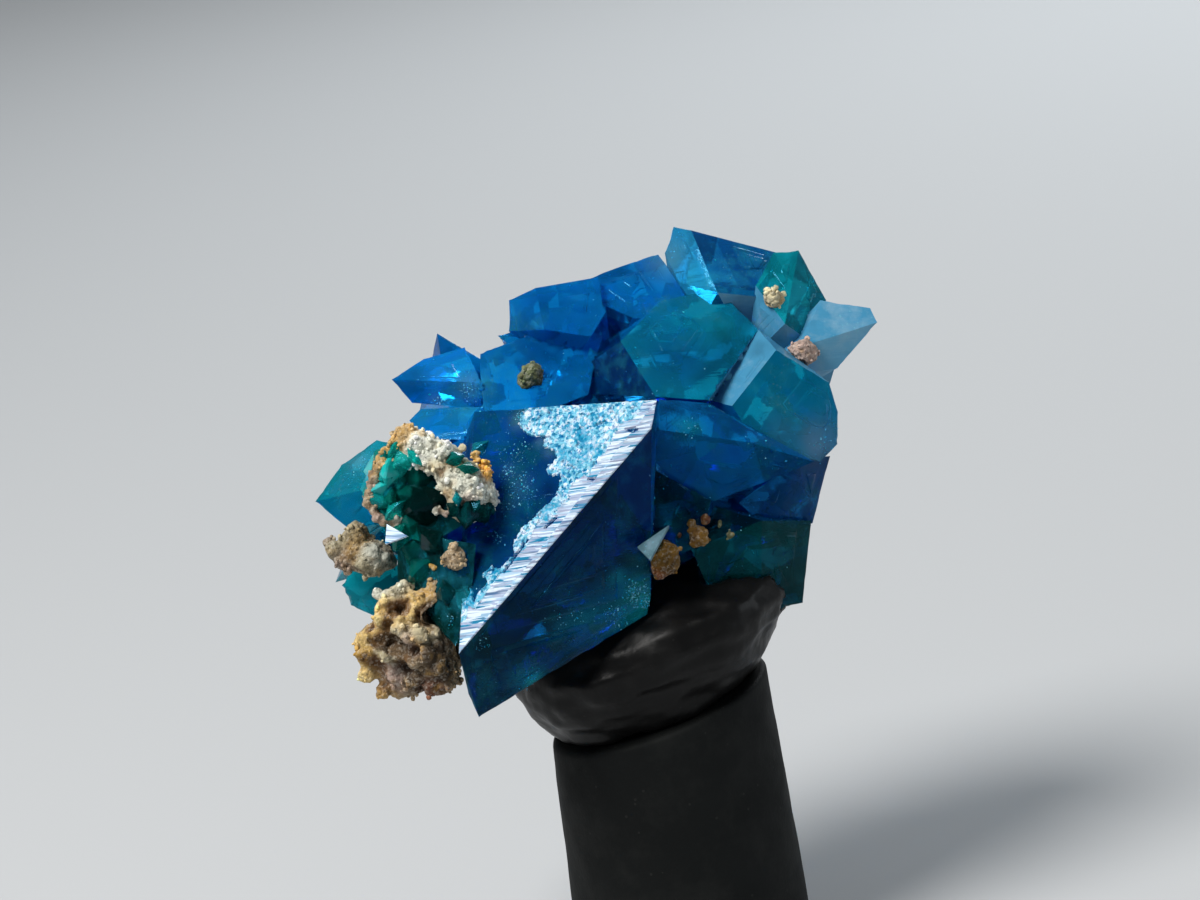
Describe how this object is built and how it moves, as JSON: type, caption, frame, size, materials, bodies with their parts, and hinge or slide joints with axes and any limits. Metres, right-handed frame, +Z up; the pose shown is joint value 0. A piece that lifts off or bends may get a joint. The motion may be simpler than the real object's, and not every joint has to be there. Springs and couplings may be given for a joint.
{
  "type": "liroconite crystal specimen on a post",
  "caption": "Small cluster of intergrown, flattened, clear blue crystals with crusts of brown and cream gossan, fixed with black wax on a round post.",
  "frame": {"origin": "middle of the post's flat foot, which stands on the surface", "axes": "+Z up along the post's axis; +X to the right and +Y away from the viewer, as the picture sees the specimen; the large sharp-edged crystal faces -Y"},
  "size_m": [0.0099, 0.0077, 0.0125],
  "materials": {
    "liroconite": "clear to translucent, deep sky blue to teal green, vitreous faces with fine growth lines",
    "cream_crust": "dull, granular, cream to tan crust",
    "brown_gossan": "dull, crumbly, brown to rust with pale grains",
    "beige_gossan": "dull, knobbly, pinkish beige",
    "tan_grain": "dull, rough grains, tan to orange brown",
    "black_wax": "black, soft sheen, smeared by hand",
    "dark_post": "matt, nearly black, lightly scuffed"
  },
  "bodies": {
    "root": {"liroconite_crystals": "liroconite", "gossan_crust": "cream_crust", "gossan_lump": "brown_gossan", "gossan_bud": "beige_gossan", "gossan_grain_1": "tan_grain", "gossan_grain_2": "tan_grain", "gossan_grain_3": "tan_grain", "gossan_grain_4": "tan_grain", "gossan_grain_5": "tan_grain", "gossan_grain_6": "tan_grain", "mounting_wax": "black_wax", "post": "dark_post"}
  },
  "joints": []
}
